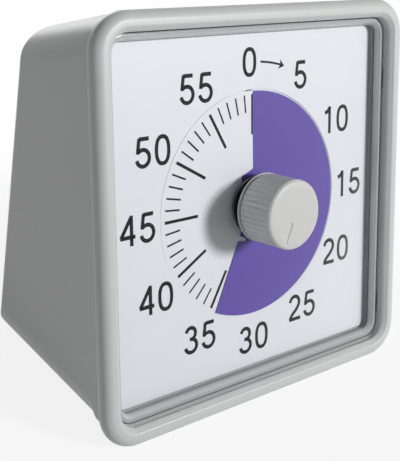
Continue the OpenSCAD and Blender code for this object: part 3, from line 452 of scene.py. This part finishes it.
window_shine, rim_shows = 0.12, 0.85
through = clear.node("ShaderNodeBsdfTransparent", sockets={"Color": (0.985, 0.99, 0.995, 1)})
gloss = clear.node("ShaderNodeBsdfGlossy", sockets={"Color": (1, 1, 1, 1), "Roughness": 0.04})
sheen = clear.node("ShaderNodeFresnel", sockets={"IOR": 1.3})
window = clear.node("ShaderNodeMixShader", sockets={0: sheen * window_shine, 1: through, 2: gloss})
# the thick rim's colour is painted light and shade: painted light makes it pale on the slope down to the window,
# it is greyer on its flat, and painted shade makes it dark at its outer wall, in the groove beside the case
painted_light_strip = strip(0.0033, 0.0041, 0.0044, 0.0047)
painted_shade_strip = strip(0.00578, 0.00602, 0.00738, 0.00762)
flat_grey, painted_light_grey, painted_shade_grey = (0.5, 0.51, 0.52), (0.74, 0.75, 0.76), (0.12, 0.122, 0.126)
edge = clear.node("ShaderNodeBsdfPrincipled", sockets={
    "Base Color": clear.blend(painted_shade_strip, clear.blend(painted_light_strip, flat_grey, painted_light_grey), painted_shade_grey),
    "Roughness": 0.14, "Normal": clear.bump(clear.noise(300.0), 0.00002)})
clear.close(clear.node("ShaderNodeMixShader", sockets={
    0: clear.rise(out, 0.0032, 0.0035) * rim_shows, 1: window, 2: edge}))
dress("lens", clear)


# ---- Spindle and knob ----
# The knob is a hollow moulding in the case's grey plastic, with fine ribs, a bevelled front, a plain
# lip at the rear and a pointer line cut in its face. It is pushed on the flat of a steel spindle.
dress("spindle", plain_steel)

# radii from the spindle and depths into the case in millimetres, so what is less than 0 stands before the dial
knob_r, knob_front, knob_back = 12.1, -21.0, -5.5
ribs, rib_depth, rib_steps, groove_from = 40, 0.4, 12, 0.48
bevel, lip, lip_r, neck_r = 0.75, 0.8, 12.25, 11.0
hollow_r, hollow_front, boss_r, boss_back, bore_r, bore_front = 9.9, -18.5, 4.5, knob_back - 0.1, 2.06, -17.3
pointer_in, pointer_out, pointer_half, pointer_depth = 2.6, 10.4, 0.62, 0.42
set_to = radians(204.4)


def turned_to_setting(x, y, z):
    """A point given with the pointer straight up, on the knob as it is set, to 34 minutes."""
    return on_dial(x * cos(set_to) + z * sin(set_to), y, z * cos(set_to) - x * sin(set_to))


def rib_radius(step):
    """Flat-topped ribs with shallow round grooves between them."""
    off = abs((step / rib_steps) % 1 - 0.5) * 2
    groove = max(0.0, (off - groove_from) / (1 - groove_from))
    return knob_r - rib_depth * sin(groove * pi / 2) ** 2


# rings from the middle of the face, over the outside and up the hollow into the bore; the ribs give their own radius
lip_front = knob_back - lip
rib_end = lip_front - 0.8
face = [(3, knob_front), (6, knob_front), (9, knob_front), (knob_r - bevel - 0.12, knob_front),
        (knob_r - bevel + 0.05, knob_front + 0.06), (knob_r - 0.2, knob_front + bevel - 0.18),
        (knob_r - 0.06, knob_front + bevel), (knob_r - 0.02, knob_front + bevel + 0.35)]
ribbed = [(None, y) for y in (knob_front + bevel + 0.8, knob_front + 4, knob_front + 8, rib_end - 0.15)]
neck = [(neck_r + 0.1, rib_end), (neck_r, rib_end + 0.05), (neck_r, lip_front - 0.05), (neck_r + 0.05, lip_front)]
rear_lip = [(lip_r - 0.15, lip_front), (lip_r, lip_front + 0.15),
            (lip_r, knob_back - 0.15), (lip_r - 0.15, knob_back)]
hollow = [(hollow_r, knob_back), (hollow_r, hollow_front), (boss_r, hollow_front), (boss_r, boss_back),
          (bore_r, boss_back), (bore_r, bore_front)]
count = ribs * rib_steps
shape = bmesh.new()
laid = []
for r, y in face + ribbed + neck + rear_lip + hollow:
    loop = []
    for i in range(count):
        reach = rib_radius(i) if r is None else r
        a = 2 * pi * i / count
        loop.append(shape.verts.new(turned_to_setting(reach * sin(a), y, reach * cos(a))))
    laid.append(loop)
for one, two in zip(laid, laid[1:]):
    for i in range(count):
        j = (i + 1) % count
        shape.faces.new((one[i], one[j], two[j], two[i]))
shape.faces.new(laid[0])
shape.faces.new(list(reversed(laid[-1])))
bmesh.ops.recalc_face_normals(shape, faces=shape.faces)
knob_mesh = bpy.data.meshes.new("ribbed_knob")
shape.to_mesh(knob_mesh)
shape.free()
knob = bpy.data.objects.new("ribbed_knob", knob_mesh)
bpy.context.scene.collection.objects.link(knob)

# the pointer's cutter: a round bar with ball ends, let into the face by the pointer's depth
cutter_mesh = bpy.data.meshes.new("pointer_cutter")
bar = bmesh.new()
bmesh.ops.create_uvsphere(bar, u_segments=32, v_segments=12, radius=pointer_half)
bar_y = knob_front + pointer_depth - pointer_half
inner_end, outer_end, above_middle = pointer_in + pointer_half, pointer_out - pointer_half, 0.001
for point in bar.verts:
    x, y, z = point.co
    point.co = turned_to_setting(x, bar_y + y, z + (outer_end if z > above_middle else inner_end))
bar.to_mesh(cutter_mesh)
bar.free()
cutter = bpy.data.objects.new("pointer_cutter", cutter_mesh)
bpy.context.scene.collection.objects.link(cutter)
cut = knob.modifiers.new("pointer", "BOOLEAN")
cut.object, cut.operation, cut.solver = cutter, "DIFFERENCE", "EXACT"
bpy.context.view_layer.update()
knob.data = bpy.data.meshes.new_from_object(knob.evaluated_get(bpy.context.evaluated_depsgraph_get()))
knob.modifiers.clear()
bpy.data.objects.remove(cutter)
crease = radians(32)
knob.data.shade_smooth()
knob.data.set_sharp_from_angle(angle=crease)
knob_plastic = moulded("knob_plastic", (0.62, 0.625, 0.61), 0.4)
knob.data.materials.clear()
knob.data.materials.append(knob_plastic.holder)
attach(knob, "dial_drive")
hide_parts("knob")


# ---- Alarm ----
# A green circuit board on four posts carries the buzzer and the slide switch. Thin red leads run from
# it to the movement and to the battery's contacts.
board = Finish(bpy.data.materials.new("board_lacquer"))
track = board.node("ShaderNodeTexBrick", {"offset": 0.5}, {
    "Vector": board.place(), "Scale": 60.0, "Color1": (0.02, 0.13, 0.05, 1), "Color2": (0.018, 0.11, 0.045, 1),
    "Mortar": (0.04, 0.22, 0.09, 1), "Mortar Size": 0.03})
board.surface({"Base Color": track, "Roughness": 0.25 + 0.1 * board.noise(300.0)})
dress("circuit_board", board)
dress("board_screws", screw_steel)
dress("buzzer", black_plastic)
dress("alarm_switch", plain_steel)
dress("switch_slider", black_plastic)
dress("leads", moulded("lead_insulation", (0.36, 0.02, 0.02), 0.45, mottle=0.1))


# ---- Rear cover and battery door ----
# The back is closed by a cover in the case's plastic, sunk a little below the edge and held by four
# countersunk screws. A hinged door with a sprung tongue closes the battery bay.
dress("rear_cover", case_plastic)
dress("battery_door", case_plastic)
dress("cover_screws", screw_steel)


# ---- Battery and its contacts ----
# One AA cell lies in the bay between a plate and a cone-shaped spring, both nickel-plated steel. Its
# can has a printed sleeve, dark blue with a pale band at the terminal's end.
band_l, terminal_l, print_soft = 0.0164, 0.002, 0.0001
cell = Finish(bpy.data.materials.new("cell_sleeve"))
cell_x, cell_end = cell.across("X"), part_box("battery")[1].x
band, bare = [cell.rise(cell_x, cell_end - back - print_soft, cell_end - back + print_soft)
              for back in (band_l, terminal_l)]
sleeve = cell.blend(band, (0.02, 0.05, 0.13), (0.62, 0.6, 0.5))
cell.surface({
    "Base Color": cell.blend(bare, sleeve, (0.6, 0.6, 0.61)),
    "Metallic": bare, "Roughness": 0.3 + 0.08 * cell.noise(500.0)})
dress("battery", cell)
dress("positive_contact", plain_steel)
dress("negative_spring", plain_steel)
